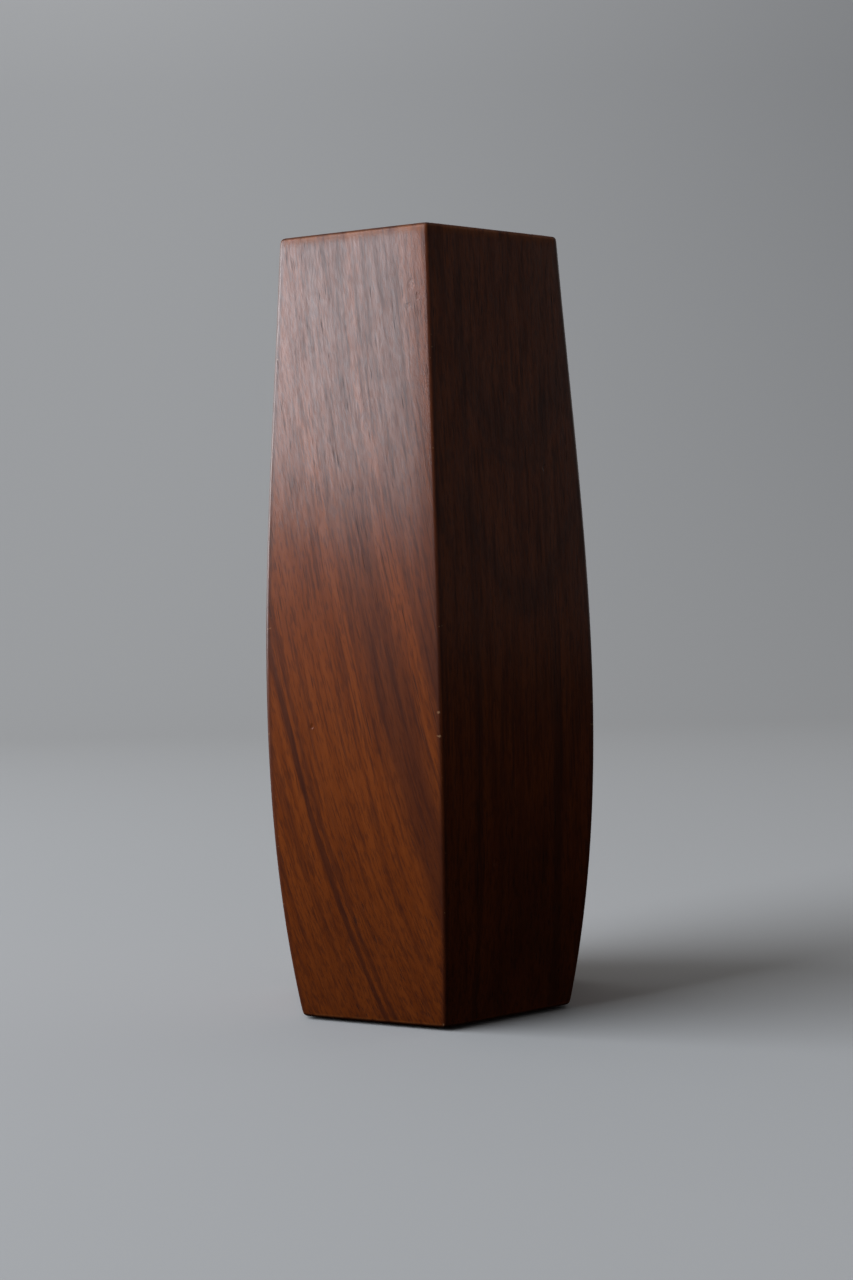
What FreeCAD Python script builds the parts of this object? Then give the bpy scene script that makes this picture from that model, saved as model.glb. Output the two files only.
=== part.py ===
import FreeCAD, Part

import math
import os

# A tall six-sided hardwood pot with swelling sides, for standing dip pens on a desk.
#
# Six staves are mitred together along their long edges, as a cooper joins a barrel. A hidden
# loose tongue (a spline) strengthens each mitre. The floor board is housed in a groove that runs
# round the foot of the staves, a thin baize sole is glued under the foot, and a felt pad lies on
# the floor. The outside is shaped after the staves are glued up, so the well inside stays
# straight and the wall is thickest at the belly.
#
# Part frame: millimetres, origin at the centre of the face the pot stands on, +Z up, and the
# front stave faces -Y. The half widths below are from the axis to a flat, not to a corner.

SIDES = 6
CORNER_HALF_ANGLE = 180 / SIDES     # a mitre lies this many degrees from its stave's centre line

# Overall size
HEIGHT = 160.0              # from the table to the top of the rim
SOLE_THICKNESS = 0.6        # the baize lifts the wood this far off the table

# The swelling side: half widths as the four poles of a cubic curve, evenly spaced in height
FOOT_HALF = 27.8
LOWER_PULL = 38.5
UPPER_PULL = 31.6
RIM_HALF = 28.4

# Staves
RIM_WALL = 6.0              # wall thickness at the rim
ARRIS_ROUND = 1.0           # softened long corners; the rim and foot rounds must be smaller
RIM_ROUND = 0.8             # outer edge of the rim
MOUTH_ROUND = 0.6           # inner edge of the rim
FOOT_ROUND = 0.8            # lower outer edge

# Floor board, with a tongue all round that sits in the staves' groove
FLOOR_THICKNESS = 8.0
TONGUE_THICKNESS = 3.0
TONGUE_UP = 3.0             # the tongue's lower face above the board's lower face
GROOVE_DEPTH = 2.5
MOVEMENT_GAP = 0.3          # the tongue stops short of the groove's bottom, so the board can move

# Splines in the mitres
SPLINE_THICKNESS = 1.5
SPLINE_WIDTH = 5.0          # half of it in each stave
SPLINE_SET_IN = 3.6         # from the well's corner to the spline's middle, along the mitre
SPLINE_ABOVE_GROOVE = 6.0
SPLINE_BELOW_RIM = 12.0
SPLINE_END_GAP = 0.5        # the groove is this much longer than the spline at each end

# Pads
SOLE_MARGIN = 2.6           # the sole is this much smaller than the foot, all round
SOLE_CORNER = 3.0
PAD_THICKNESS = 2.0
PAD_GAP = 0.4               # between the felt pad and the well's walls
PAD_CORNER = 1.2

# Worked out from the above
FOOT_Z = SOLE_THICKNESS
WELL_HALF = RIM_HALF - RIM_WALL
FLOOR_TOP_Z = FOOT_Z + FLOOR_THICKNESS
GROOVE_LOW_Z = FOOT_Z + TONGUE_UP
GROOVE_TOP_Z = GROOVE_LOW_Z + TONGUE_THICKNESS
SPLINE_LOW_Z = GROOVE_TOP_Z + SPLINE_ABOVE_GROOVE
SPLINE_TOP_Z = HEIGHT - SPLINE_BELOW_RIM
REACH = 2 * HEIGHT          # longer than any part of the pot, for cutting tools
TOUCH = 1e-4                # how near a point must be to count as on a level

# Where each stave faces, and which corner each spline is in, in degrees from +X towards +Y
STAVES = {
    "front_stave": -90,
    "front_right_stave": -30,
    "back_right_stave": 30,
    "back_stave": 90,
    "back_left_stave": 150,
    "front_left_stave": -150,
}
SPLINES = {
    "right_front_spline": -60,
    "right_spline": 0,
    "right_back_spline": 60,
    "left_back_spline": 120,
    "left_spline": 180,
    "left_front_spline": -120,
}

OUT = "parts"
AXIS = FreeCAD.Vector(0, 0, 1)
ORIGIN = FreeCAD.Vector(0, 0, 0)


def vec(x, y, z):
    return FreeCAD.Vector(x, y, z)


def turned(shape, degrees):
    """A copy of a shape, turned about the pot's axis."""
    copy = shape.copy()
    copy.rotate(ORIGIN, AXIS, degrees)
    return copy


def level_edges(shape, z):
    """The edges that lie in the level plane at z."""
    return [
        e for e in shape.Edges
        if abs(e.BoundBox.ZMin - z) < TOUCH and abs(e.BoundBox.ZMax - z) < TOUCH
    ]


def upright_edges(shape):
    """The edges that run from a shape's lowest level to its highest."""
    height = shape.BoundBox.ZLength
    return [e for e in shape.Edges if abs(e.BoundBox.ZLength - height) < TOUCH]


def six_sided(half, low_z, high_z, corner=0):
    """A straight six-sided prism on the axis, one flat towards -Y, with rounded corners."""
    radius = half / math.cos(math.radians(CORNER_HALF_ANGLE))
    angles = [math.radians(i * 360 / SIDES) for i in range(SIDES)]
    ring = [vec(radius * math.cos(a), radius * math.sin(a), low_z) for a in angles]
    face = Part.Face(Part.makePolygon(ring + [ring[0]]))
    prism = face.extrude(vec(0, 0, high_z - low_z))
    return prism.makeFillet(corner, upright_edges(prism)) if corner else prism


def side_curve(sign):
    """One side of the pot's outline in the YZ plane, from the foot to the rim."""
    halves = (FOOT_HALF, LOWER_PULL, UPPER_PULL, RIM_HALF)
    rise = (HEIGHT - FOOT_Z) / (len(halves) - 1)
    curve = Part.BezierCurve()
    curve.setPoles([vec(0, sign * half, FOOT_Z + i * rise) for i, half in enumerate(halves)])
    return curve.toShape()


def flat_pair():
    """The swelling outline drawn out along X, far past the pot. Its two curved faces are those
    of the front and back staves."""
    back = side_curve(1)
    front = side_curve(-1)
    foot = Part.makeLine(front.Vertexes[0].Point, back.Vertexes[0].Point)
    rim = Part.makeLine(front.Vertexes[-1].Point, back.Vertexes[-1].Point)
    face = Part.Face(Part.Wire([foot, back, rim, front]))
    face.translate(vec(-REACH, 0, 0))
    return face.extrude(vec(2 * REACH, 0, 0))


def shaped_block():
    """The outside of the pot as one block: three pairs of curved faces, with softened edges."""
    pair = flat_pair()
    block = pair.common(turned(pair, 360 / SIDES)).common(turned(pair, 720 / SIDES))
    block = block.makeFillet(ARRIS_ROUND, upright_edges(block))
    block = block.makeFillet(RIM_ROUND, level_edges(block, HEIGHT))
    return block.makeFillet(FOOT_ROUND, level_edges(block, FOOT_Z))


def glued_tube():
    """The six staves as one tube, with the well and the floor's groove cut."""
    tube = shaped_block().cut(six_sided(WELL_HALF, -REACH, REACH))
    well_corner = WELL_HALF / math.cos(math.radians(CORNER_HALF_ANGLE))
    mouth = [
        e for e in level_edges(tube, HEIGHT)
        if all(math.hypot(v.X, v.Y) < well_corner + TOUCH for v in e.Vertexes)
    ]
    tube = tube.makeFillet(MOUTH_ROUND, mouth)
    return tube.cut(six_sided(WELL_HALF + GROOVE_DEPTH, GROOVE_LOW_Z, GROOVE_TOP_Z))


def spline_bar(end_gap):
    """A loose tongue across the mitre in the +X corner, or the tool for its groove, which is
    longer by a gap at each end."""
    well_corner = WELL_HALF / math.cos(math.radians(CORNER_HALF_ANGLE))
    low = vec(
        well_corner + SPLINE_SET_IN - SPLINE_THICKNESS / 2,
        -SPLINE_WIDTH / 2,
        SPLINE_LOW_Z - end_gap,
    )
    length = SPLINE_TOP_Z - SPLINE_LOW_Z + 2 * end_gap
    return Part.makeBox(SPLINE_THICKNESS, SPLINE_WIDTH, length, low)


def stave_towards_x():
    """One stave, facing +X: its share of the glued tube, between its two mitres."""
    mitre = math.radians(CORNER_HALF_ANGLE)
    out = REACH * math.cos(mitre)
    across = REACH * math.sin(mitre)
    wedge = Part.Face(Part.makePolygon([ORIGIN, vec(out, -across, 0), vec(out, across, 0), ORIGIN]))
    # the tube has flats towards -Y and +Y, so it turns a half side to bring one towards +X
    tube = turned(glued_tube(), CORNER_HALF_ANGLE)
    stave = tube.common(wedge.extrude(vec(0, 0, REACH)))
    groove = spline_bar(SPLINE_END_GAP)
    for side in (-1, 1):
        stave = stave.cut(turned(groove, side * CORNER_HALF_ANGLE))
    return stave


def floor_board():
    """The floor, flush with the staves' foot, with its tongue all round."""
    board = six_sided(WELL_HALF, FOOT_Z, FLOOR_TOP_Z)
    tongue = six_sided(WELL_HALF + GROOVE_DEPTH - MOVEMENT_GAP, GROOVE_LOW_Z, GROOVE_TOP_Z)
    return board.fuse(tongue).removeSplitter()


def baize_sole():
    """The thin sole that the pot stands on."""
    return six_sided(FOOT_HALF - SOLE_MARGIN, 0, SOLE_THICKNESS, SOLE_CORNER)


def felt_pad():
    """The loose pad on the floor of the well."""
    top = FLOOR_TOP_Z + PAD_THICKNESS
    return six_sided(WELL_HALF - PAD_GAP, FLOOR_TOP_Z, top, PAD_CORNER)


def one_solid(name, shape):
    """The single valid solid in a shape."""
    solids = shape.Solids
    assert len(solids) == 1 and solids[0].isValid(), (name, len(solids))
    return solids[0]


def main():
    os.makedirs(OUT, exist_ok=True)
    stave = stave_towards_x()
    spline = spline_bar(0)
    parts = {
        **{name: turned(stave, degrees) for name, degrees in STAVES.items()},
        **{name: turned(spline, degrees) for name, degrees in SPLINES.items()},
        "floor_board": floor_board(),
        "baize_sole": baize_sole(),
        "felt_pad": felt_pad(),
    }
    for name, shape in parts.items():
        solid = one_solid(name, shape)
        solid.exportStep(os.path.join(OUT, f"{name}.step"))
        print(f"{name}: {solid.Volume / 1000:.2f} cm3, {len(solid.Faces)} faces")


main()
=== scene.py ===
# %% [markdown]
# # A six-sided rosewood pot for dip pens
#
# This file dresses a pot that is already worked out as solid parts. The parts come in as a
# fixed frame: six staves, the splines hidden in their mitres, a floor board, a baize sole and
# a felt pad. Each cell below explains one piece or one finish, then makes it.

# %% Load the frame
import math
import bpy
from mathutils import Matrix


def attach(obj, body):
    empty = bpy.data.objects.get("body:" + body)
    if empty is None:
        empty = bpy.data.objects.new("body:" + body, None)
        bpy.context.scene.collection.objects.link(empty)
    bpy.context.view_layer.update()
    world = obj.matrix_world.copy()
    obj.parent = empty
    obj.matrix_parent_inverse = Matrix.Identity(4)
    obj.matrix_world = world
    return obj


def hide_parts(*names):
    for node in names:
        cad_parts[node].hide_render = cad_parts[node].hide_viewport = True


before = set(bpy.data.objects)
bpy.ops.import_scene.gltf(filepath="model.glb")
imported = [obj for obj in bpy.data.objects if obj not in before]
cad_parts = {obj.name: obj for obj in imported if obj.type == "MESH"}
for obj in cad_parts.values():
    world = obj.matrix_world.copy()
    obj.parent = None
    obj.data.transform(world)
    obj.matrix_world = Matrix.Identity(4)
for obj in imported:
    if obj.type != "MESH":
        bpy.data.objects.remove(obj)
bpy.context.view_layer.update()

from types import SimpleNamespace

import bmesh
import bpy
import numpy as np
from mathutils import Matrix

# %% [markdown]
# ## The camera
#
# The camera stands a little above half the pot's height and about 0.4 m away, with a normal
# lens, so that one corner comes towards it. Its three axes are worked out from a heading, a
# pitch and a small roll, and are put into the camera's matrix as columns. That is easier to
# read than three Euler angles, whose order has to be remembered.

# %% Place the camera
CAMERA_PLACE = (-0.2271, -0.3263, 0.0878)
HEADING, PITCH, ROLL = np.radians([34.966, -1.549, -1.355])
LENS_MM = 52.09
SENSOR_WIDTH_MM = 36
NEAREST_SEEN = 0.01

# level directions, as (x, y): away from the camera, and to its right
AHEAD = (math.sin(HEADING), math.cos(HEADING))
RIGHTWARD = (math.cos(HEADING), -math.sin(HEADING))

forward = np.array([*(math.cos(PITCH) * np.array(AHEAD)), math.sin(PITCH)])
level_right = np.array([*RIGHTWARD, 0])
level_up = np.cross(level_right, forward)
right = math.cos(ROLL) * level_right + math.sin(ROLL) * level_up
up = math.cos(ROLL) * level_up - math.sin(ROLL) * level_right

camera = bpy.data.objects.new("camera", bpy.data.cameras.new("camera"))
camera.data.lens = LENS_MM
camera.data.sensor_width = SENSOR_WIDTH_MM
camera.data.clip_start = NEAREST_SEEN
turn = np.eye(4)
turn[:3, :3] = np.column_stack([right, up, -forward])
turn[:3, 3] = CAMERA_PLACE
camera.matrix_world = Matrix(turn.tolist())
bpy.context.scene.collection.objects.link(camera)
bpy.context.scene.camera = camera
print("camera to the pot's axis:", round(math.hypot(*CAMERA_PLACE[:2]), 4), "m")

# %% [markdown]
# ## Turning arrays into pieces
#
# Every new piece is a grid of points worked out with numpy: rows are levels or steps along a
# path, and columns go round a section. Two helpers do the rest. The first joins neighbouring
# points of the grid into four-sided faces. The second puts points and faces into a mesh, and
# merges points that fall in the same place, which closes seams and poles.

# %% Helpers for meshes
BODY = "root"
MERGE = 1e-7                # points nearer than this are one point
SHARP = math.radians(32)    # a fold steeper than this is shaded as an edge


def grid_faces(rows, columns):
    """The quads of a grid of points whose last column joins its first. Row i and column j hold
    point i * columns + j, and a quad goes round four neighbours: along its row, then up."""
    row, column = np.meshgrid(np.arange(rows - 1), np.arange(columns), indexing="ij")
    here = row * columns + column
    after = row * columns + (column + 1) % columns
    return np.stack([here, after, after + columns, here + columns], -1).reshape(-1, 4).tolist()


def make_mesh(name, points, faces, flat_faces=()):
    """An object at the origin with these points and faces, as one closed, smooth-shaded mesh.
    The faces numbered in flat_faces are shaded flat."""
    mesh = bpy.data.meshes.new(name)
    mesh.from_pydata(np.asarray(points).reshape(-1, 3).tolist(), [], faces)
    mesh.polygons.foreach_set("use_smooth", np.isin(np.arange(len(faces)), flat_faces, invert=True))
    shape = bmesh.new()
    shape.from_mesh(mesh)
    bmesh.ops.remove_doubles(shape, verts=shape.verts, dist=MERGE)
    shape.to_mesh(mesh)
    shape.free()
    mesh.set_sharp_from_angle(angle=SHARP)
    thing = bpy.data.objects.new(name, mesh)
    bpy.context.scene.collection.objects.link(thing)
    return thing


def open_edges(thing):
    """How many edges of a mesh don't have exactly two faces: none, on a closed shape."""
    shape = bmesh.new()
    shape.from_mesh(thing.data)
    count = sum(len(edge.link_faces) != 2 for edge in shape.edges)
    shape.free()
    return count


def join_pot(thing, node):
    """Let a piece stand for a node and ride on the pot's body, and print its faces and open edges.
    """
    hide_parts(node)
    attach(thing, BODY)
    print(thing.name, len(thing.data.polygons), "faces,", open_edges(thing), "open edges")


# %% [markdown]
# ## The swelling side
#
# The maker glues six straight boards into a tube and then planes the outside to a bulge: drawn
# in at the foot, widest below the middle, and a little narrower again at the rim. One cubic
# curve gives the distance from the pot's axis to the middle of a face at every height, and
# everything else on the outside follows from it. All sizes are in metres.

# %% The side's curve
MM = 0.001
HEIGHT = 160 * MM
FOOT_Z = 0.6 * MM
SIDE_POLES = np.array([27.8, 38.5, 31.6, 28.4]) * MM
HALF_CORNER = math.radians(30)  # between the middle of a face and a mitre, seen from the axis


def side(z):
    """Distance from the axis to the middle of a face at height z: a cubic Bezier curve whose
    poles are evenly spaced in height, so the curve's parameter is the height's share."""
    t = (z - FOOT_Z) / (HEIGHT - FOOT_Z)
    weights = np.array([(1 - t) ** 3, 3 * t * (1 - t) ** 2, 3 * t ** 2 * (1 - t), t ** 3])
    return np.tensordot(SIDE_POLES, weights, 1)


samples = np.linspace(FOOT_Z, HEIGHT, 500)
widest = samples[side(samples).argmax()]
print("across flats, widest:", round(2 * side(widest) / MM, 2), "mm, at", round(widest / MM), "mm")

# %% [markdown]
# ## A stave
#
# A stave is one of the six wall boards. Its two long edges are mitred at 30 degrees, and each
# mitre has a shallow groove for half of a spline. A wider groove crosses the inside near the
# foot and holds the floor board's tongue. The outer arrises, the rim and the foot are softened
# with a plane and sandpaper. The rounding is small, but it catches the light, and without it
# the pot looks like card.
#
# A stave could be cut out of a block with boolean modifiers, but their meshes are untidy. Here
# the outline of its section is worked out at every level, always with the same number of
# points, so the levels stack into one clean grid. Where a groove starts, one level is used
# twice, with the outline before and after the step.

# %% Sizes of a stave
ARRIS_ROUND = 1.0 * MM
RIM_ROUND = 0.8 * MM
FOOT_ROUND = 0.8 * MM
MOUTH_ROUND = 0.6 * MM
WELL_HALF = 22.4 * MM               # from the axis to the well's wall
FLOOR_GROOVE_Z = (3.6 * MM, 6.6 * MM)
FLOOR_GROOVE_DEPTH = 2.5 * MM
SPLINE_GROOVE_Z = (12.1 * MM, 148.5 * MM)
SPLINE_GROOVE_DEPTH = 2.5 * MM
SPLINE_GROOVE_IN = 28.716 * MM      # from the axis, along the mitre
SPLINE_GROOVE_OUT = 30.216 * MM

# what sanding takes off: a crown over the width, a roll at the ends, and slow waves
SANDING_CROWN = 0.10 * MM
CROWN_POWER = 6
SANDING_ROLL = 0.10 * MM
SANDING_REACH = 2.5 * MM
SANDING_DIP = 0.03 * MM

# how finely the surface is divided
ROUND_STEPS = 9
FACE_LEVELS = 86
FACE_STEPS = 21
WELL_STEPS = 7
NEAR_AN_END = np.array([0.3, 0.6, 0.9, 1.2, 1.6, 2.0]) * MM
CLEAR_OF_STEP = 0.3 * MM

for place, z in (("rim", HEIGHT), ("widest", widest), ("foot", FOOT_Z)):
    print("wall at the", place, round((side(z) - WELL_HALF) / MM, 2), "mm")


# %% The outline of a stave's section
def rounding(distance, radius):
    """How far a quarter-round edge has drawn the surface back, at a distance below its end:
    the radius less the height of a circle there, and nothing past the radius."""
    rest = np.clip(radius - distance, 0, radius)
    return radius - np.sqrt(radius ** 2 - rest ** 2)


def rolled(distance):
    """How far sanding has rolled the face off near its end: it grows as the square of how far
    inside the reach a point is."""
    return SANDING_ROLL * np.clip(1 - distance / SANDING_REACH, 0, 1) ** 2


def stave_levels():
    """Heights of a stave's sections, and which side of a step each is on (-1 or +1). The rounds
    are stepped by equal angles, and the levels where a groove starts or ends come twice."""
    quarter = np.sin(np.radians(np.linspace(0, 90, ROUND_STEPS)))
    foot = FOOT_Z + FOOT_ROUND * (1 - quarter[::-1])
    rim = HEIGHT - RIM_ROUND * (1 - quarter)
    near, last = NEAR_AN_END[:-1], NEAR_AN_END[-1]
    middle = np.linspace(foot[-1] + last, rim[0] - last, FACE_LEVELS)
    plain = np.concatenate([foot[-1] + near, middle, rim[0] - near[::-1]])
    steps = np.array([*FLOOR_GROOVE_Z, *SPLINE_GROOVE_Z])
    clear = np.abs(plain[:, None] - steps).min(1) > CLEAR_OF_STEP
    single = np.concatenate([foot, plain[clear], rim])
    levels = np.concatenate([single, steps, steps])
    which = np.concatenate([np.ones(len(single) + len(steps)), -np.ones(len(steps))])
    order = np.lexsort([which, levels])
    return levels[order], which[order]


def within(levels, which, span):
    """True for the sections that are inside a span, counting the inner side of its steps."""
    nudged = levels + which * MERGE
    return (nudged > span[0]) & (nudged < span[1])


def uneven(z, share, facing):
    """How deeply the sanding dips, from 0 to 1, as two slow waves that go up the face and cross
    each other. Each stave's waves are shifted by the way it faces."""
    first_length, second_length = 43 * MM, 27 * MM
    shift = math.radians(3 * facing)
    first = np.sin(z * 2 * math.pi / first_length + 2.1 * share + shift)
    second = np.sin(z * 2 * math.pi / second_length - 3.3 * share + 2 * shift)
    return 0.5 + 0.3 * first + 0.2 * second


def stave_outline(levels, which, facing):
    """Points of the sections of a stave that faces +X, as an array of levels by points by (x, y).

    Half of the outline is: the arris, an arc of 30 degrees round a centre on the mitre line;
    the mitre line, with the spline's groove cut square to it; and the well's corner. The other
    half is the same, turned over, and two runs join them: the outer face, which the sanding
    has left very slightly crowned and uneven, and the well's straight wall."""
    from_foot = levels - FOOT_Z
    from_rim = HEIGHT - levels
    back = rounding(from_foot, FOOT_ROUND) + rounding(from_rim, RIM_ROUND)
    face = side(levels) - back - rolled(from_foot) - rolled(from_rim)
    arris = ARRIS_ROUND - back
    well = WELL_HALF + rounding(from_rim, MOUTH_ROUND)
    well = well + FLOOR_GROOVE_DEPTH * within(levels, which, FLOOR_GROOVE_Z)

    # the face's last few millimetres lean towards the arris, and the arc starts at that slope
    lean = CROWN_POWER * SANDING_CROWN / (face * math.tan(HALF_CORNER))
    angles = lean[:, None] + (HALF_CORNER - lean[:, None]) * np.linspace(0, 1, ROUND_STEPS)
    centre = face - SANDING_CROWN - arris * np.cos(lean)
    arc = np.stack([
        centre[:, None] + arris[:, None] * np.cos(angles),
        centre[:, None] * math.tan(HALF_CORNER) + arris[:, None] * np.sin(angles),
    ], -1)

    along = np.array([math.cos(HALF_CORNER), math.sin(HALF_CORNER)])
    inward = np.array([math.sin(HALF_CORNER), -math.cos(HALF_CORNER)])
    depth = SPLINE_GROOVE_DEPTH * within(levels, which, SPLINE_GROOVE_Z)
    groove_corner = (WELL_HALF + FLOOR_GROOVE_DEPTH) / math.cos(HALF_CORNER)
    reach = (FLOOR_GROOVE_Z[1], SPLINE_GROOVE_Z[0])
    groove_in = np.interp(levels, reach, (groove_corner, SPLINE_GROOVE_IN))
    groove_out = np.full_like(levels, SPLINE_GROOVE_OUT)
    from_axis = np.stack([groove_out, groove_out, groove_in, groove_in], -1)
    set_in = np.stack([0 * depth, depth, depth, 0 * depth], -1)
    mitre = from_axis[..., None] * along + set_in[..., None] * inward
    corner = np.stack([well, well * math.tan(HALF_CORNER)], -1)[:, None]

    half = np.concatenate([arc, mitre, corner], 1)
    mirrored = (half * (1, -1))[:, ::-1]
    share = np.sin(np.linspace(-1, 1, FACE_STEPS) * math.pi / 2)[1:-1]
    edge = half[:, 0, 1][:, None]
    dip = SANDING_DIP * (1 - share ** 2) ** 2 * uneven(levels[:, None], share, facing)
    crown = SANDING_CROWN * share ** CROWN_POWER
    outer = np.stack([face[:, None] - crown - dip, edge * share], -1)
    share = np.linspace(1, -1, WELL_STEPS)[1:-1]
    inner = np.stack([well[:, None] + 0 * share, corner[:, 0, 1][:, None] * share], -1)
    return np.concatenate([outer, half, inner, mirrored], 1)


outline_shape = stave_outline(*stave_levels(), 0).shape
print("a stave's outline has", outline_shape[1], "points at each of", outline_shape[0], "levels")

# %% [markdown]
# ## Six staves
#
# All six have the same outline, and each is turned about the axis to face its own way. They
# stay separate pieces, as the boards are, so that each can have its own grain. The outlines are
# stacked, and a many-sided face closes each end.

# %% Make the six staves
STAVES = {
    "front": -90,
    "front_right": -30,
    "back_right": 30,
    "back": 90,
    "back_left": 150,
    "front_left": -150,
}
CAPS = 2    # the faces that close a stave's ends


def make_stave(name, facing):
    """A stave as a stack of its outlines, turned about the axis to face its own way, with a cap
    at each end."""
    levels, which = stave_levels()
    outline = stave_outline(levels, which, facing)
    rows, columns = outline.shape[:2]
    angle = math.radians(facing)
    turned = outline @ np.array([
        [math.cos(angle), math.sin(angle)],
        [-math.sin(angle), math.cos(angle)],
    ])
    height = np.broadcast_to(levels[:, None, None], (rows, columns, 1))
    points = np.concatenate([turned, height], -1)
    faces = grid_faces(rows, columns)
    foot = list(range(columns))[::-1]
    rim = list(range((rows - 1) * columns, rows * columns))
    sides = len(faces)
    return make_mesh(name, points, [*faces, foot, rim], range(sides, sides + CAPS))


staves = {name: make_stave(f"{name}_stave_wood", facing) for name, facing in STAVES.items()}
for name, stave in staves.items():
    join_pot(stave, f"{name}_stave")

# %% [markdown]
# ## The felts
#
# Felt is pressed wool, cut to shape with scissors. The pad lies loose on the floor of the well
# and keeps the nibs off the wood. The sole is much thinner baize, glued under the foot so that
# the pot doesn't scratch a desk. Both are six-sided with small round corners.
#
# A felt is one surface of two parameters: the way round the outline, and the way from the
# middle of the underside, out round the cut edge and back to the middle of the top. The wool
# is never quite flat, so its top rises and falls by a few hundredths of a millimetre.

# %% The surface of a felt
FELT_STEPS = 180            # points round the outline
FELT_RINGS = 22             # rings of points from the middle out, above and below
EDGE_RINGS = 5              # rings round each of the two softened edges
SOFT_EDGE = 0.45 * MM
SOFT_SHARE = 0.45           # of a thin felt's thickness, at most
CALM_MARGIN = 0.05          # share of the radius, near the edge, where the nap settles
NAP_WAVES = 12
NAP_LENGTHS_MM = (1.5, 6)


def six_sided(angle, half, corner):
    """Distance from the axis to the edge of a six-sided sheet, one flat towards -Y, in a given
    direction. On a flat it is the half width over the cosine of the angle off the flat's
    middle, and near a corner it is where the direction meets the corner's circle."""
    off_flat = (angle + math.pi / 2 + HALF_CORNER) % (2 * HALF_CORNER) - HALF_CORNER
    centre = (half - corner) / math.cos(HALF_CORNER)
    off_corner = HALF_CORNER - np.abs(off_flat)
    tangent = math.atan((half - corner) * math.tan(HALF_CORNER) / half)
    flat = half / np.cos(off_flat)
    reach = np.sqrt(np.maximum(corner ** 2 - (centre * np.sin(off_corner)) ** 2, 0))
    rounded = centre * np.cos(off_corner) + reach
    return np.where(np.abs(off_flat) < tangent, flat, rounded)


def nap_height(x, y, seed):
    """Small rises of the wool, from -1 to 1: the mean of a dozen waves of seeded direction and
    length."""
    random = np.random.default_rng(seed)
    heading = random.uniform(0, 2 * math.pi, NAP_WAVES)
    length = random.uniform(*NAP_LENGTHS_MM, NAP_WAVES) * MM
    phase = random.uniform(0, 2 * math.pi, NAP_WAVES)
    along = x[..., None] * np.cos(heading) + y[..., None] * np.sin(heading)
    return np.sin(2 * math.pi * along / length + phase).mean(-1)


def make_felt(name, half, corner, low, high, nap, seed):
    """A six-sided sheet of felt between two heights. The profile goes out along the underside,
    round a softened edge and back along the top, where the nap rises and falls."""
    soft = min(SOFT_EDGE, SOFT_SHARE * (high - low))
    out = np.linspace(0, 1, FELT_RINGS)
    bend = np.radians(np.linspace(0, 90, EDGE_RINGS + 1))[1:]
    inset = soft * (1 - np.sin(bend))
    rise = soft * (1 - np.cos(bend))
    flat = np.ones(FELT_RINGS)
    share = np.concatenate([out, np.ones(2 * EDGE_RINGS), out[::-1]])
    edge_in = np.concatenate([soft * flat, inset, inset[::-1], soft * flat])
    level = np.concatenate([low * flat, low + rise, high - rise[::-1], high * flat])
    angle = np.linspace(0, 2 * math.pi, FELT_STEPS, endpoint=False)
    radius = (six_sided(angle, half, corner)[None] - edge_in[:, None]) * share[:, None]
    x = radius * np.cos(angle)
    y = radius * np.sin(angle)
    dip = nap * (nap_height(x, y, seed) - 1) / 2
    top = np.concatenate([np.zeros(FELT_RINGS + 2 * EDGE_RINGS), flat])
    inner = np.clip((1 - share) / CALM_MARGIN, 0, 1) * top
    z = level[:, None] + dip * inner[:, None]
    points = np.stack([x, y, z], -1)
    return make_mesh(name, points, grid_faces(len(share), FELT_STEPS))


print("a felt's grid:", 2 * (FELT_RINGS + EDGE_RINGS), "rings of", FELT_STEPS, "points")

# %% [markdown]
# ## The two felts
#
# Both are cut from flat cloth. Their flat sizes are those of the hexagon they are cut to: across
# its corners and across its flats.

SOLE_HALF = 25.2 * MM
SOLE_CORNER = 3 * MM
PAD_HALF = 22.0 * MM
PAD_CORNER = 1.2 * MM
PAD_THICKNESS = 2 * MM
PAD_NAP = 0.12 * MM
FLOOR_TOP = 8.6 * MM


def flat_size(half):
    """Width across corners and across flats."""
    return 2 * half / math.cos(HALF_CORNER), 2 * half


sole = make_felt("baize_sole_cloth", SOLE_HALF, SOLE_CORNER, low=0, high=FOOT_Z, nap=0, seed=3)
pad = make_felt("felt_pad_cloth", PAD_HALF, PAD_CORNER, low=FLOOR_TOP,
                high=FLOOR_TOP + PAD_THICKNESS, nap=PAD_NAP, seed=8)
join_pot(sole, "baize_sole")
join_pot(pad, "felt_pad")
for felt, half in ((sole, SOLE_HALF), (pad, PAD_HALF)):
    print(felt.name, "flat:", [round(v / MM, 1) for v in flat_size(half)], "mm")

# %% [markdown]
# ## Shader maths as plain expressions
#
# A finish is a sum of small patterns: streaks, pores, wear. With the class below, a socket can
# be added, multiplied or compared as if it were a number, and each step adds a Math node. Any
# other node is added by node(), which takes its type, its settings and its sockets' values.

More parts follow.
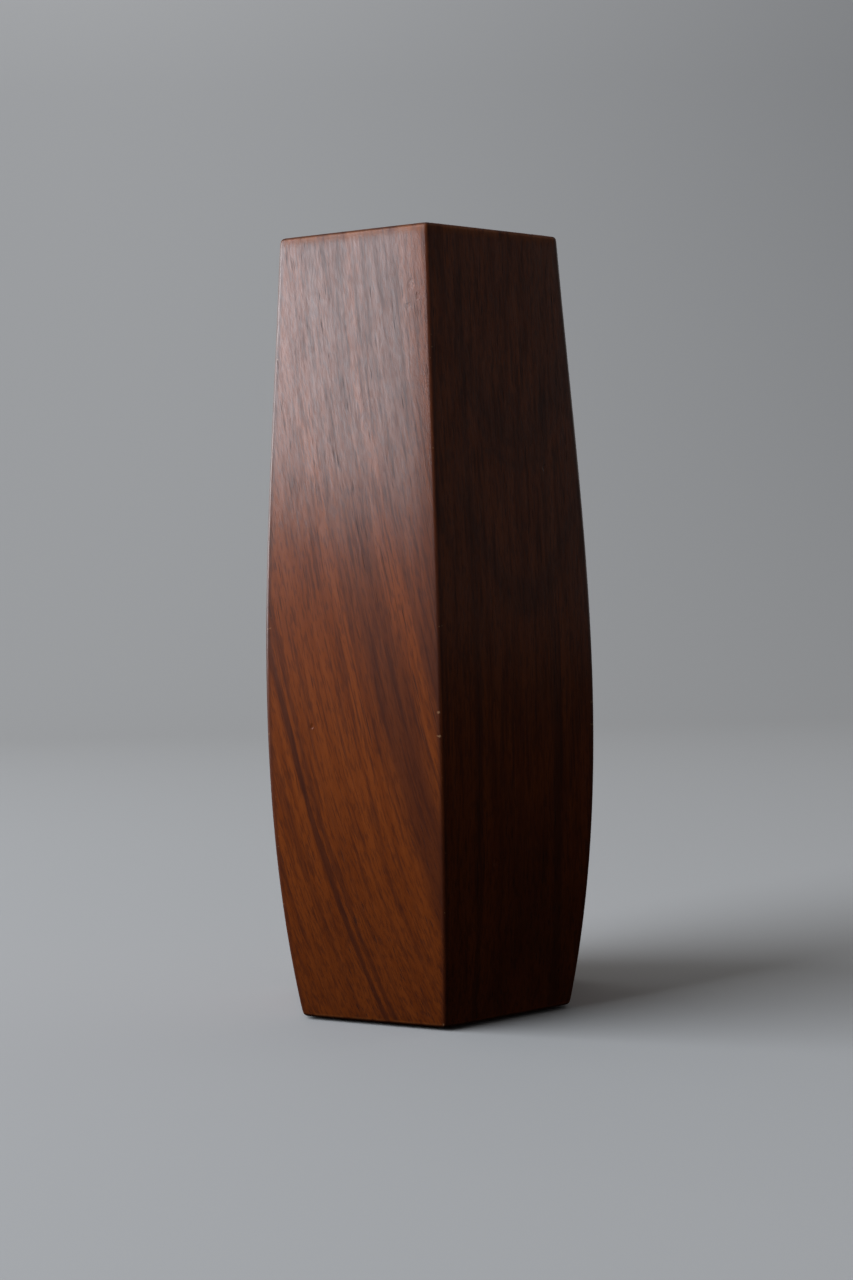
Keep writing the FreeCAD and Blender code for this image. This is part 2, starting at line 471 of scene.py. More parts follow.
# %% The socket class
class Field:
    """A quantity that varies over a surface: one output socket of a material's nodes."""

    def __init__(self, tree, socket=None):
        self.tree = tree
        self.socket = socket

    def node(self, kind, settings=None, sockets=None, output=0):
        """Add a node to the same material and return one of its outputs. Settings are set
        before sockets, because some of them change which sockets there are."""
        made = self.tree.nodes.new(kind)
        for key, value in (settings or {}).items():
            setattr(made, key, value)
        for key, value in (sockets or {}).items():
            if isinstance(value, Field):
                self.tree.links.new(value.socket, made.inputs[key])
            else:
                made.inputs[key].default_value = value
        return Field(self.tree, made.outputs[output] if made.outputs else None)

    def other(self, output):
        """Another output of the same node."""
        return Field(self.tree, self.socket.node.outputs[output])

    def math(self, operation, *terms):
        """Add a Math node that works on these terms, which are fields or numbers."""
        return self.node("ShaderNodeMath", {"operation": operation}, dict(enumerate(terms)))

    def __add__(self, term):
        return self.math("ADD", self, term)

    def __sub__(self, term):
        return self.math("SUBTRACT", self, term)

    def __rsub__(self, term):
        return self.math("SUBTRACT", term, self)

    def __mul__(self, term):
        return self.math("MULTIPLY", self, term)

    __radd__ = __add__
    __rmul__ = __mul__

    def size(self):
        """The field without its sign."""
        return self.math("ABSOLUTE", self)

    def most(self, term):
        """The larger of this field and another, or a number."""
        return self.math("MAXIMUM", self, term)

    def between(self, low, high, at_low=0.0, at_high=1.0):
        """A smooth step from one value to another as this field goes from low to high."""
        return self.node(
            "ShaderNodeMapRange",
            {"interpolation_type": "SMOOTHSTEP"},
            {"Value": self, "From Min": low, "From Max": high, "To Min": at_low, "To Max": at_high},
        )

    def blend(self, first, second):
        """Mix two colours, this field being the share of the second. A Mix node's colours are
        its inputs 6 and 7 and its output 2."""
        sockets = {"Factor": self, 6: first, 7: second}
        return self.node("ShaderNodeMix", {"data_type": "RGBA"}, sockets, output=2)


def parts_of(vector):
    """The x, y and z of a vector field."""
    x = vector.node("ShaderNodeSeparateXYZ", None, {0: vector})
    return x, x.other("Y"), x.other("Z")


def vector_of(x, y, z):
    """A vector field from three parts, the first of which is a field."""
    return x.node("ShaderNodeCombineXYZ", None, {0: x, 1: y, 2: z})


def length_of(x, y):
    """How far the point (x, y) is from (0, 0), for two fields."""
    return x.node("ShaderNodeVectorMath", {"operation": "LENGTH"}, {0: vector_of(x, y, 0.0)},
                  output="Value")


def squareness(start, axis):
    """How squarely the surface faces along x, y or z (0, 1 or 2), from 0 to 1."""
    return parts_of(start.node("ShaderNodeNewGeometry", output="Normal"))[axis].size()


def noise(vector, scale, detail=2.0, rough=0.5, warp=0.0):
    """Smooth random values round 0.5 at the points of a vector field."""
    return vector.node("ShaderNodeTexNoise", {"noise_dimensions": "3D"}, {
        "Vector": vector, "Scale": scale, "Detail": detail, "Roughness": rough, "Distortion": warp})


def layered(colour, layers):
    """Lay more colours over a colour, one after another. Each layer is the share of it that
    shows, which is a field, and its colour."""
    for share, layer in layers:
        colour = share.blend(colour, layer)
    return colour


def bumped(start, height, depth):
    """The surface's direction, tilted by a height field that is counted in this depth."""
    return start.node("ShaderNodeBump", None, {
        "Strength": 1.0, "Distance": depth, "Height": height})


def start_finish(name):
    """A new empty material, and a field that nodes can be added from."""
    material = bpy.data.materials.new(name)
    material.use_nodes = True
    material.node_tree.nodes.clear()
    return material, Field(material.node_tree)


def end_finish(start, sockets):
    """Put a Principled shader with these sockets on the surface."""
    surface = start.node("ShaderNodeBsdfPrincipled", None, sockets)
    start.node("ShaderNodeOutputMaterial", None, {"Surface": surface})
    print("a finish of", len(start.tree.nodes), "nodes")


# %% [markdown]
# ## Rosewood
#
# Rosewood is orange-brown to purple-brown, with irregular dark streaks, and its open pores show
# as fine dark dashes a third of a millimetre wide. The maker oils and waxes it to a satin sheen.
#
# The pattern is solid: it is worked out in three dimensions and the stave is cut through it, so
# the streaks of the face carry over the rim as end grain. Each stave is first turned to face
# +X. Then three coordinates follow the grain: across it, into the board, and along it. The
# grain leans, and its lean changes from the foot to the rim, so the coordinate across it is the
# distance across the face plus a curve of the height.
#
# Streaks, fine lines and fibres are all noise in these coordinates. They differ in how fine
# they are across the grain and in how far they are drawn out along it.

# %% Coordinates and noises that follow the grain
GRAIN_WARP = 2.2 * MM
GRAIN_WIGGLE = 0.35 * MM
GRAIN_NOISES = {
    # name: share of the distance along the grain that counts; scale, detail and roughness
    "streaks": (0.045, 620, 2.0, 0.6),
    "lines": (0.032, 1250, 1.5, 0.55),
    "weave": (0.07, 380, 2.0, 0.55),
    "fibres": (0.13, 2700, 1.0, 0.5),
    "grit": (0.22, 2100, 2.0, 0.7),
    "drift": (0.4, 45, 1.0, 0.5),
}


def grain_space(start, facing, lean, offset):
    """Fields across, into and along the grain of a stave, its own x, y and z, and the noises
    above. A lean is the tangent of the grain's angle off upright, at the foot and at the rim.
    The offset, in metres, gives each stave its own stretch of the pattern."""
    lean_foot, lean_rim = lean
    point = start.node("ShaderNodeTexCoord", output="Object")
    own = point.node("ShaderNodeMapping", {"vector_type": "POINT"}, {
        "Vector": point, "Rotation": (0, 0, math.radians(-facing))})
    x, y, z = parts_of(own)
    bend = (lean_rim - lean_foot) / (2 * HEIGHT)
    slow = noise(vector_of(x + offset, y, z * 0.35), 38, 1.0)
    quick = noise(vector_of(x + offset, y * 2.0, z), 110, 1.0)
    across = y + z * (z * bend + lean_foot)
    across = across + (slow - 0.5) * GRAIN_WARP + (quick - 0.5) * GRAIN_WIGGLE
    grain = SimpleNamespace(
        across=across, into=x + offset * 0.37, along=z + offset, x=x, y=y, z=z)
    for name, (stretch, *settings) in GRAIN_NOISES.items():
        place = vector_of(grain.across, grain.into, grain.along * stretch)
        setattr(grain, name, noise(place, *settings))
    return grain


print("noises that follow the grain:", ", ".join(GRAIN_NOISES))

# %% [markdown]
# ## Rings, dark bands and pores
#
# Growth rings are bands by the distance from the pith, the middle of the log, which is outside
# the board. Dark bands are the board's own, so each has its place, width and strength. Pores
# are long thin cells with a spindle-shaped pore round the middle of each. The cells' random
# values make some pores wider than others and leave some out, and a slower noise gathers them.

# %% The figure of the wood
BAND_FRAY = 0.9             # how far streaks move a band's edge, to its half width plus 1 mm
PORE_STRETCH = 0.032
PORES_PER_METRE = 2500
RING_STRETCH = 0.02


def growth_rings(grain, pith):
    """Rings, from 0 to 1. The pith is given across the grain, into the board, and by its tilt."""
    pith_across, pith_depth, pith_tilt = pith
    to_pith = length_of(grain.across - pith_across, grain.x - grain.z * pith_tilt - pith_depth)
    place = vector_of(to_pith, grain.along * RING_STRETCH, grain.into * RING_STRETCH)
    return noise(place, 620, 2.0, 0.55).between(0.5, 0.7)


def dark_bands(grain, bands):
    """The board's dark bands, from 0 to 1, frayed by the streaks and fainter high up. Each has
    a place across the grain and a half width, in millimetres, and a strength."""
    banded = grain.drift * 0.0
    for place, half, strength in bands:
        fray = (grain.streaks - 0.5) * BAND_FRAY * (half + 1) * MM
        off_middle = (grain.across - place * MM).size() + fray
        banded = banded.most(off_middle.between(half * 1.6 * MM, half * 0.5 * MM) * strength)
    return banded * grain.z.between(100 * MM, 55 * MM, 0.42, 1.0)


def open_pores(start, grain):
    """Pores, from 0 on the ground to 1 in the middle of a pore."""
    cells = start.node("ShaderNodeTexVoronoi", {"feature": "F1"}, {
        "Vector": vector_of(grain.across, grain.into, grain.along * PORE_STRETCH),
        "Scale": PORES_PER_METRE})
    width, presence, _ = parts_of(cells.other("Color"))
    pore = (cells + width * 0.22).between(0.44, 0.14) * presence.between(0.0, 0.6)
    return pore * grain.weave.between(0.60, 0.44)


pore_width = 1 / PORES_PER_METRE
print("a pore's cell:", round(pore_width / MM, 2), "mm wide,",
      round(pore_width / PORE_STRETCH / MM, 1), "mm long")

# %% [markdown]
# ## Wear, painted shade and painted highlights
#
# The arrises are darker: this is painted shade, where their rounding turns away from the light.
# The rim and the foot are paler, partly rubbed wear and partly a painted highlight, and a few
# nicks go down to bare wood. Knocks have left shallow hollows with uneven edges. End grain
# drinks more oil than the faces do, so the flat of the rim and of the foot is darker and
# duller. Each of these is a mask worked out from where a point is on its stave.

# %% Where the pot is worn, and where painted shade and highlights lie
# each span is where a mask is nought and where it is whole
OUTSIDE_SPAN = (24.5 * MM, 25.5 * MM)                           # by x, out from the axis
INSIDE_SPAN = (WELL_HALF + 1.2 * MM, WELL_HALF + 0.4 * MM)      # by x
ARRIS_SPAN = (1.1 * MM, 0.3 * MM)                               # by the way in from the mitre
RIM_SPAN = (HEIGHT - 2.8 * MM, HEIGHT - 0.8 * MM)               # by z
FOOT_SPAN = (1.9 * MM, 1.1 * MM)                                # by z
MITRE_NORMAL = (0.5, -0.866)    # square to the mitre, into the board
RAGGED = 1.4 * MM


def wear_and_painted_light_masks(start, grain):
    """Masks from 0 to 1. The way in from the mitre is the dot product of (x, the size of y)
    and the mitre's normal, and the outside is where x is past the span. Facing up is the size
    of the normal's z, and end grain is where that is large."""
    x, y, z = grain.x, grain.y, grain.z
    outside = x.between(*OUTSIDE_SPAN)
    from_mitre = x * MITRE_NORMAL[0] + y.size() * MITRE_NORMAL[1]
    arris = from_mitre.between(*ARRIS_SPAN)
    ends = z.between(*RIM_SPAN).most(z.between(*FOOT_SPAN))
    chips = noise(vector_of(x, y, z), 850, 1.0).between(0.73, 0.78)
    facing_up = squareness(start, 2)
    return SimpleNamespace(
        outside=outside,
        inside=x.between(*INSIDE_SPAN),
        # painted shade along the outer arrises
        arris=arris * outside,
        ends=ends,
        # the paler rim and foot: partly rubbed wear, partly a painted highlight
        rubbed_and_highlit=arris.most(ends) * outside * grain.weave.between(0.3, 0.55) * ends,
        nicks=chips * arris * outside,
        facing_up=facing_up,
        end_grain=facing_up.between(0.25, 0.7),
    )


def knocks(grain, dents, outside):
    """Shallow hollows, from 0 to 1 in the middle of each. A dent is given across the face, up
    it, and by its radius, in millimetres."""
    ragged = (noise(vector_of(grain.x, grain.y, grain.z), 1100, 2.0) - 0.5) * RAGGED
    knocked = grain.drift * 0.0
    for right, high, radius in dents:
        away = length_of(grain.y - right * MM, (grain.z - high * MM) * 0.7)
        knocked = knocked.most((away + ragged).between(radius * MM, radius * 0.2 * MM))
    return knocked * outside


print("the rim's wear reaches", round((HEIGHT - RIM_SPAN[0]) / MM, 1), "mm down")

# %% [markdown]
# ## Colour, relief and sheen
#
# The colours are laid over each other from the widest pattern to the finest, and the wear comes
# last. Some of them are painted light: painted shade darkens the wood towards the foot and along
# the arrises, and the paler rim and foot are partly a painted highlight. The relief is a tenth
# of a millimetre at most. The wax is a clear coat over the wood: it makes the broad soft sheen,
# and it is thinner in the pores and on the finest lines, so the sheen itself shows the grain.
# There is hardly any on the ends or inside the well.

# %% The rosewood finish
LIGHT_WOOD = (0.238, 0.051, 0.0062)
MID_WOOD = (0.166, 0.033, 0.0038)
DARK_WOOD = (0.054, 0.013, 0.0060)
PORE_DARK = (0.020, 0.006, 0.0040)
WORN_AND_HIGHLIT_WOOD = (0.340, 0.105, 0.0270)
BARE_WOOD = (0.480, 0.260, 0.1300)
RELIEF = 0.1 * MM


def wood_colour(grain, wear_and_painted_light, rings, banded, pore, tone):
    """The wood's colour: each layer's share of the surface, and its colour. The tone makes a
    whole board lighter or darker."""
    light, mid, dark, deep, pale_highlight, bare = (
        (*(level * tone for level in colour), 1)
        for colour in (LIGHT_WOOD, MID_WOOD, DARK_WOOD, PORE_DARK, WORN_AND_HIGHLIT_WOOD, BARE_WOOD))
    return layered(mid, [
        (grain.streaks.between(0.32, 0.68), light),
        (grain.drift.between(0.35, 0.65) * 0.35, mid),
        (rings * 0.35, dark),
        (banded * 0.85, dark),
        # painted shade: the wood is darker over the lowest 70 mm, most at the foot
        (grain.z.between(70 * MM, 0.0) * 0.3, dark),
        (grain.lines.between(0.46, 0.32) * (banded * 0.3 + 0.46), dark),
        (grain.fibres.between(0.52, 0.34) * 0.42, dark),
        (pore * 0.7, deep),
        # partly rubbed wear, partly a painted highlight: the rim and the foot are paler
        (wear_and_painted_light.rubbed_and_highlit * 0.5, pale_highlight),
        # painted shade: the arrises are darkened where their rounding turns away from the light
        (wear_and_painted_light.arris * 0.6, dark),
        (wear_and_painted_light.nicks * 0.5, bare),
        (wear_and_painted_light.end_grain * 0.7, deep),
    ])


def wax_weight(grain, wear_and_painted_light, pore):
    """How much wax is left, from 0 to 1: the product of what each pattern and mask leaves."""
    waxed = grain.streaks.between(0.3, 0.7, 0.82, 1.0) * grain.lines.between(0.3, 0.6, 0.74, 1.0)
    waxed = waxed * grain.grit.between(0.3, 0.7, 0.66, 1.0)
    waxed = waxed * (1 - wear_and_painted_light.facing_up.between(0.1, 0.5) * 0.95) * (1 - pore * 0.6)
    return waxed * (1 - wear_and_painted_light.inside * 0.8) * (1 - wear_and_painted_light.ends * wear_and_painted_light.outside * 0.65)


def rosewood(name, facing, lean, pith, bands, dents, offset, tone):
    """Rosewood for the stave that faces a given way. The other values are the board's own, and
    the functions above say what each is."""
    material, start = start_finish(name)
    grain = grain_space(start, facing, lean, offset)
    banded = dark_bands(grain, bands)
    pore = open_pores(start, grain)
    wear_and_painted_light = wear_and_painted_light_masks(start, grain)
    ground = noise(vector_of(grain.x, grain.y, grain.z), 90, 2.0)
    relief = ground * 0.12 - pore * 0.2 + grain.fibres * 0.2 + grain.lines * 0.16
    relief = relief + grain.grit * 0.45 - knocks(grain, dents, wear_and_painted_light.outside)
    dull = wear_and_painted_light.inside.most(wear_and_painted_light.end_grain)
    end_finish(start, {
        "Base Color": wood_colour(grain, wear_and_painted_light, growth_rings(grain, pith), banded, pore, tone),
        "Roughness": grain.fibres * 0.08 + pore * 0.2 + dull * 0.3 + 0.34,
        "Specular IOR Level": 0.16,
        "Coat Weight": wax_weight(grain, wear_and_painted_light, pore),
        "Coat Roughness": 0.20,
        "Normal": bumped(start, relief, RELIEF),
    })
    return material


print("the wood's relief is", round(RELIEF / MM, 2), "mm deep")

# %% [markdown]
# ## Six boards
#
# No two boards are alike, so each stave has its own lean of the grain, pith, dark bands, dents
# and tone. The front stave's darker tone is partly painted shade, for the side turned away from
# the window. A board whose pith is near shows arched figure, and one whose pith is far off shows
# straight lines.

# %% Give each stave its own board
BOARDS = {
    "front_left": dict(
        lean=(0.35, 0.10), pith=(-0.25, 0.0, 0.0), offset=0.31, tone=1.0,
        bands=((3.7, 0.55, 0.9), (5.6, 0.5, 0.6), (28.6, 4.4, 0.75), (41.5, 4.4, 1.0)),
        dents=((13, 148, 0.9), (14.5, 145.5, 0.6), (12.4, 143.6, 0.7), (-9, 61, 0.5))),
    "front": dict(
        # painted shade: the front stave's tone of 0.86 darkens the side turned away from the window
        lean=(0.03, -0.02), pith=(0.004, -0.012, 0.10), offset=0.83, tone=0.86,
        bands=((-9, 0.8, 0.6), (11, 1.0, 0.6)), dents=((-6, 33, 0.8), (9, 112, 0.6))),
    "front_right": dict(
        lean=(-0.10, 0.03), pith=(-0.06, -0.02, 0.05), offset=1.37, tone=1.0,
        bands=((-3, 2.0, 0.6), (13, 1.0, 0.7)), dents=((2, 96, 0.8),)),
    "back_right": dict(
        lean=(0.12, 0.05), pith=(0.01, -0.02, -0.08), offset=1.91, tone=0.96,
        bands=((-12, 1.2, 0.7), (6, 1.5, 0.5)), dents=((11, 22, 0.9), (12.5, 24.5, 0.6))),
    "back": dict(
        lean=(-0.20, -0.08), pith=(-0.055, -0.035, 0.0), offset=2.43, tone=1.03,
        bands=((-8, 1.0, 0.7), (-26, 2.5, 0.6)), dents=((-10, 139, 0.7),)),
    "back_left": dict(
        lean=(0.05, 0.11), pith=(0.05, -0.025, 0.06), offset=2.97, tone=0.98,
        bands=((3, 1.5, 0.6), (15, 2.0, 0.6)), dents=((4, 73, 0.8), (-7, 130, 0.6))),
}
for name, board in BOARDS.items():
    staves[name].data.materials.append(rosewood(f"rosewood_{name}", STAVES[name], **board))

# %% [markdown]
# ## The splines' wood
#
# The splines are strips off the saw, glued in and never seen again, so they have no finish:
# pale bare wood, with fibres standing up and slightly darker patches. A rough matt surface is
# enough for them, and one material serves all six.

# %% The sawn wood
SAWN_PALE = (0.60, 0.42, 0.25, 1)
SAWN_DEEP = (0.46, 0.29, 0.15, 1)
SAWN_FIBRE = (0.36, 0.20, 0.095, 1)
SAWN_PORE = (0.20, 0.10, 0.045, 1)
SAWN_PATCH = (0.30, 0.17, 0.08, 1)
PATCH_STRENGTH = 0.4794
SAWN_RELIEF = 0.05 * MM


def sawn_wood(name):
    """Pale bare wood: growth lines and fibres drawn out along z, darker specks of end pores,
    and slow patches."""
    material, start = start_finish(name)
    x, y, z = parts_of(start.node("ShaderNodeTexCoord", output="Object"))
    growth = noise(vector_of(x, y, z * 0.03), 900, 2.0)
    fibres = noise(vector_of(x, y, z * 0.08), 4200, 2.0, 0.6)
    specks = noise(vector_of(x, y, z * 0.25), 5200, 1.0).between(0.62, 0.70)
    patches = noise(vector_of(x, y, z), 160, 2.0).between(0.35, 0.6) * PATCH_STRENGTH
    end_finish(start, {
        "Base Color": layered(SAWN_DEEP, [
            (growth.between(0.35, 0.65), SAWN_PALE),
            (fibres.between(0.6, 0.4) * 0.35, SAWN_FIBRE),
            (specks * 0.5, SAWN_PORE),
            (patches.between(0.2, 1.0) * 0.15, SAWN_PATCH),
        ]),
        "Roughness": fibres * 0.1 + 0.72,
        "Specular IOR Level": 0.3,
        "Normal": bumped(start, patches * 0.6 + fibres * 0.5, SAWN_RELIEF),
    })
    return material


print("the sawn wood's relief is", round(SAWN_RELIEF / MM, 2), "mm deep")

# %% [markdown]
# ## The floor board's wood
#
# The floor board was planed and oiled before it went in. Its grain runs from side to side,
# level, so its streaks are drawn out along x. The ends, where the grain is cut across, are
# darker.

# %% The planed wood
PLANED_PALE = (0.19, 0.060, 0.018, 1)
PLANED_DEEP = (0.105, 0.030, 0.010, 1)
PLANED_LINE = (0.045, 0.014, 0.007, 1)
PLANED_PORE = (0.018, 0.007, 0.005, 1)
PLANED_WARP = 3.0 * MM
PLANED_RELIEF = 0.05 * MM


def planed_board(name):
    """Dark oiled wood with level grain along x: streaks, lines, fibres and fine pores."""
    material, start = start_finish(name)
    x, y, z = parts_of(start.node("ShaderNodeTexCoord", output="Object"))
    slow = noise(vector_of(x * 0.5, y, z), 60, 1.0)
    across = y + x * 0.06 + (slow - 0.5) * PLANED_WARP
    streaks = noise(vector_of(x * 0.05, across, z), 420, 2.0, 0.6)
    lines = noise(vector_of(x * 0.04, across, z), 1300, 1.5)
    fibres = noise(vector_of(x * 0.12, across, z), 2700, 1.0)
    cells = start.node("ShaderNodeTexVoronoi", {"feature": "F1"}, {
        "Vector": vector_of(x * 0.05, across, z), "Scale": 2400})
    presence, _, _ = parts_of(cells.other("Color"))
    pore = cells.between(0.36, 0.14) * presence.between(0.2, 0.8)
    relief = fibres * 0.2 + lines * 0.3 - pore * 0.4
    end_finish(start, {
        "Base Color": layered(PLANED_DEEP, [
            (streaks.between(0.32, 0.68), PLANED_PALE),
            (lines.between(0.46, 0.32) * 0.5, PLANED_LINE),
            (fibres.between(0.55, 0.35) * 0.25, PLANED_LINE),
            (pore * 0.65, PLANED_PORE),
            (squareness(start, 0).between(0.3, 0.9) * 0.6, PLANED_PORE),
        ]),
        "Roughness": fibres * 0.1 + pore * 0.2 + 0.42,
        "Specular IOR Level": 0.3,
        "Coat Weight": (1 - pore * 0.6) * 0.3,
        "Coat Roughness": 0.3,
        "Normal": bumped(start, relief, PLANED_RELIEF),
    })
    return material


print("the planed wood's relief is", round(PLANED_RELIEF / MM, 2), "mm deep")

# %% [markdown]
# ## New wood on kept shapes
#
# The splines and the floor board are plain sawn shapes, so the solid parts' own meshes serve,
# and they only get a material. The six splines share one.

# %% Give the splines and the floor board their wood
def refinish(node, material):
    """Put a material on a part that keeps its shape, in place of all it had."""
    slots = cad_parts[node].data.materials
    slots.clear()
    slots.append(material)


spline_wood = sawn_wood("sawn_spline_wood")
for corner in ("right_front", "right", "right_back", "left_back", "left", "left_front"):
    refinish(f"{corner}_spline", spline_wood)
refinish("floor_board", planed_board("planed_floor_wood"))

# %% [markdown]
# ## Felt and baize
#
# Both are matted wool: there is no weave, only short fibres lying every way. Each fibre field
# is noise drawn out along one direction, and four of them, turned by 45 degrees, are laid over
# each other. The paler fibres on top give felt its bloom, and a little sheen lifts it where it
# turns away. Baize is finer, shorter and almost black here.

# %% The wool finishes
FIBRE_TURNS = (0, 45, 90, 135)
FIBRE_STRETCH = 0.14
PILL_SHARE = 0.22           # how many pills there are to a strand


def matted_wool(name, deep, middle, bloom, fibre, depth):
    """Wool felt: fibre is how many strands there are to a metre, and depth how deep the nap is,
    in metres. The colour goes from deep, between the strands, to bloom, on the top ones."""
    material, start = start_finish(name)
    x, y, z = parts_of(start.node("ShaderNodeTexCoord", output="Object"))
    nap = x * 0.0
    for turn in FIBRE_TURNS:
        c, s = math.cos(math.radians(turn)), math.sin(math.radians(turn))
        lengthwise = (x * c + y * s) * FIBRE_STRETCH
        sideways = y * c - x * s
        strand = noise(vector_of(lengthwise, sideways, z * 0.6), fibre, 1.0, 0.5, 0.4)
        nap = nap.most(strand.between(0.48, 0.72))
    patch = noise(vector_of(x, y, z), 130, 2.0)
    pills = noise(vector_of(x, y, z), fibre * PILL_SHARE, 2.0)
    end_finish(start, {
        "Base Color": layered(deep, [
            (nap * 0.8 + patch * 0.2, middle),
            (nap.between(0.55, 1.0) * pills.between(0.42, 0.62), bloom),
        ]),
        "Roughness": nap * 0.08 + 0.86,
        "Specular IOR Level": 0.2,
        "Sheen Weight": 0.35,
        "Sheen Roughness": 0.5,
        "Sheen Tint": bloom,
        "Normal": bumped(start, nap * 0.7 + pills * 0.6 + patch * 0.3, depth),
    })
    return material


pad.data.materials.append(matted_wool(
    "pressed_felt", deep=(0.030, 0.014, 0.008, 1), middle=(0.075, 0.038, 0.022, 1),
    bloom=(0.150, 0.090, 0.058, 1), fibre=2600, depth=0.16 * MM))
sole.data.materials.append(matted_wool(
    "short_baize", deep=(0.010, 0.008, 0.007, 1), middle=(0.030, 0.022, 0.018, 1),
    bloom=(0.065, 0.050, 0.042, 1), fibre=3600, depth=0.08 * MM))

# %% [markdown]
# ## The paper sweep
#
# The pot stands on pale paper that curves up behind it, so no horizon shows. Away from the pot
# the paper fades out into an equally pale room, so that no view shows its edge. It is hidden
# from reflections and throws no light back: the pot should look as it does on a dark desk,
# whose reflection leaves the foot and the shaded sides deep brown.

# %% The sweep
SWEEP_FRONT = 6.0
SWEEP_FLAT = 0.75
SWEEP_BEND = 0.55
SWEEP_TOP = 4.0
SWEEP_HALF_WIDTH = 6.0
BEND_STEPS = 33
PAPER_GREY = (0.34, 0.335, 0.33, 1)
FADE_NEARER = (0.5, 1.6)        # metres from the pot towards the camera
FADE_SIDEWAYS = (0.9, 2.0)      # metres to either side of the pot


def make_sweep():
    """A profile carried sideways: flat towards the camera, a quarter circle, then upright. The
    profile's distance is measured away from the camera."""
    bend = np.radians(np.linspace(0, 90, BEND_STEPS))
    away = np.concatenate([
        [-SWEEP_FRONT], SWEEP_FLAT + SWEEP_BEND * np.sin(bend), [SWEEP_FLAT + SWEEP_BEND]])
    height = np.concatenate([[0], SWEEP_BEND * (1 - np.cos(bend)), [SWEEP_TOP]])
    across = np.array([-SWEEP_HALF_WIDTH, SWEEP_HALF_WIDTH])
    flat = away[:, None, None] * np.array(AHEAD) + across[None, :, None] * np.array(RIGHTWARD)
    upright = np.broadcast_to(height[:, None, None], (*flat.shape[:2], 1))
    points = np.concatenate([flat, upright], -1).reshape(-1, 3)
    first = 2 * np.arange(len(away) - 1)
    faces = np.stack([first, first + 1, first + 3, first + 2], -1).tolist()
    mesh = bpy.data.meshes.new("paper_sweep")
    mesh.from_pydata(points.tolist(), [], faces)
    mesh.shade_smooth()
    sweep = bpy.data.objects.new("paper_sweep", mesh)
    bpy.context.scene.collection.objects.link(sweep)
    return sweep


def level_distance(x, y, direction):
    """How far the point (x, y) is along a level direction, for two fields."""
    return x * direction[0] + y * direction[1]


sweep = make_sweep()
sweep.visible_glossy = False
sweep.visible_diffuse = False

paper, start = start_finish("paper")
x, y, _ = parts_of(start.node("ShaderNodeTexCoord", output="Object"))
nearer = level_distance(x, y, AHEAD) * -1.0
off_middle = level_distance(x, y, RIGHTWARD).size()
faded = nearer.between(*FADE_NEARER).most(off_middle.between(*FADE_SIDEWAYS))
end_finish(start, {"Base Color": PAPER_GREY, "Roughness": 0.9, "Alpha": 1 - faded})
sweep.data.materials.append(paper)

# %% [markdown]
# ## The lights
#
# One large soft window stands to the left, a little behind the pot. It gives the left face its
# satin sheen and leaves the right face in shade. Its lower edge is above the desk, so the sheen
# ends half way down the swelling face. A small light evens out the paper behind the pot. A weak
# fill at the far side lets the sides that face away from the window be seen. It only serves the
# pot, so it is linked to the pot's pieces and leaves the paper alone.

# %% Place the lights
WALL_MIDDLE = (0.75, 1.07, 0.55)


def add_softbox(name, azimuth, distance, low, high, width, watts, colour, aim, roll=0,
                mirrored=False):
    """A rectangular light round the pot, between two heights, facing a point. It may be rolled
    about the line to that point, in degrees. Only a mirrored one shows in reflections."""
    light = bpy.data.lights.new(name, "AREA")
    light.shape = "RECTANGLE"
    light.color = colour
    light.energy = watts
    angle = math.radians(azimuth)
    place = np.array([distance * math.cos(angle), distance * math.sin(angle), (low + high) / 2])
    towards = np.array(aim) - place
    towards = towards / np.linalg.norm(towards)
    sideways = np.cross(towards, [0, 0, 1])
    sideways = sideways / np.linalg.norm(sideways)
    lifted = np.cross(sideways, towards)
    light.size = width
    light.size_y = (high - low) / lifted[2]
    c, s = math.cos(math.radians(roll)), math.sin(math.radians(roll))
    matrix = np.eye(4)
    matrix[:3, 0] = c * sideways + s * lifted
    matrix[:3, 1] = c * lifted - s * sideways
    matrix[:3, 2] = -towards
    matrix[:3, 3] = place
    box = bpy.data.objects.new(name, light)
    box.matrix_world = Matrix(matrix.tolist())
    box.visible_camera = False
    box.visible_glossy = mirrored
    bpy.context.scene.collection.objects.link(box)
    area = light.size * light.size_y
    print(name, "radiance about", round(watts / (math.pi * area), 2))
    return box


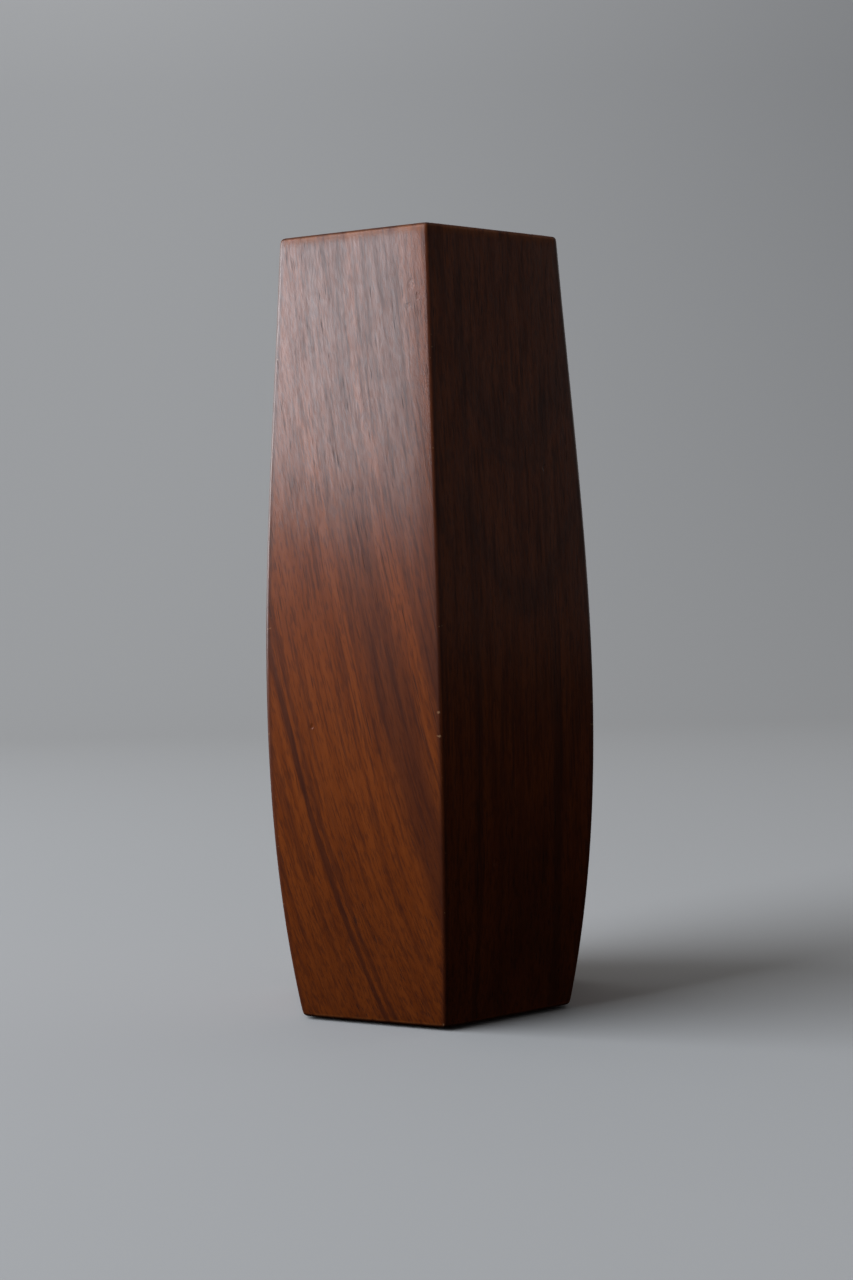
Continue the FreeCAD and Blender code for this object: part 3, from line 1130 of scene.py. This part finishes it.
add_softbox("window", azimuth=161.5, distance=1.1, low=0.345, high=1.90, width=1.20, watts=47,
            colour=(0.86, 0.92, 1.0), aim=(0, 0, 1.1225), roll=-7, mirrored=True)
fill = add_softbox("fill", azimuth=25, distance=1.2, low=0.25, high=1.0, width=0.9, watts=8,
                   colour=(1.0, 0.97, 0.94), aim=(0, 0, 0.625))
add_softbox("wall_light", azimuth=85, distance=0.7, low=0.9, high=1.2, width=0.8, watts=3.0,
            colour=(1.0, 0.99, 0.97), aim=WALL_MIDDLE)

pot = bpy.data.collections.new("pot")
for piece in (*staves.values(), sole, pad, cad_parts["floor_board"]):
    pot.objects.link(piece)
fill.light_linking.receiver_collection = pot

# %% [markdown]
# ## The room
#
# The sheen is a reflection, so what stands round the pot matters as much as the lights. The
# world is painted by direction: a dark table below, a dim room on the camera's side, a grey
# wall ahead, and a bright patch of it low on the left, which draws a light line down the left
# edge. The camera itself sees a plain pale grey instead, so it can't tell where the paper ends.

# %% The room round the studio
SIDE_GREY = (0.075, 0.075, 0.078, 1)
WALL_GREY = (0.36, 0.36, 0.36, 1)
PATCH_GREY = (3.6, 3.8, 4.0, 1)
PALE_GREY = (0.30, 0.305, 0.31, 1)
TABLE_BROWN = (0.014, 0.008, 0.006, 1)

world = bpy.data.worlds.new("studio")
world.use_nodes = True
world.node_tree.nodes.clear()
start = Field(world.node_tree)
east, north, rise = parts_of(start.node("ShaderNodeTexCoord", output="Generated"))
ahead = level_distance(east, north, AHEAD)
leftward = level_distance(east, north, RIGHTWARD) * -1.0
patch = leftward.between(0.55, 0.75) * ahead.between(0.05, 0.2) * rise.between(0.45, 0.25)
room = layered(SIDE_GREY, [(ahead.between(-0.3, 0.2), WALL_GREY), (patch, PATCH_GREY)])
room = rise.between(-0.03, 0.03).blend(TABLE_BROWN, room)
seen = start.node("ShaderNodeLightPath", output="Is Camera Ray")
light = start.node("ShaderNodeBackground", None, {"Color": seen.blend(room, PALE_GREY)})
start.node("ShaderNodeOutputWorld", None, {"Surface": light})
bpy.context.scene.world = world
bpy.context.scene.view_settings.view_transform = "Standard"
print("a room of", len(world.node_tree.nodes), "nodes")
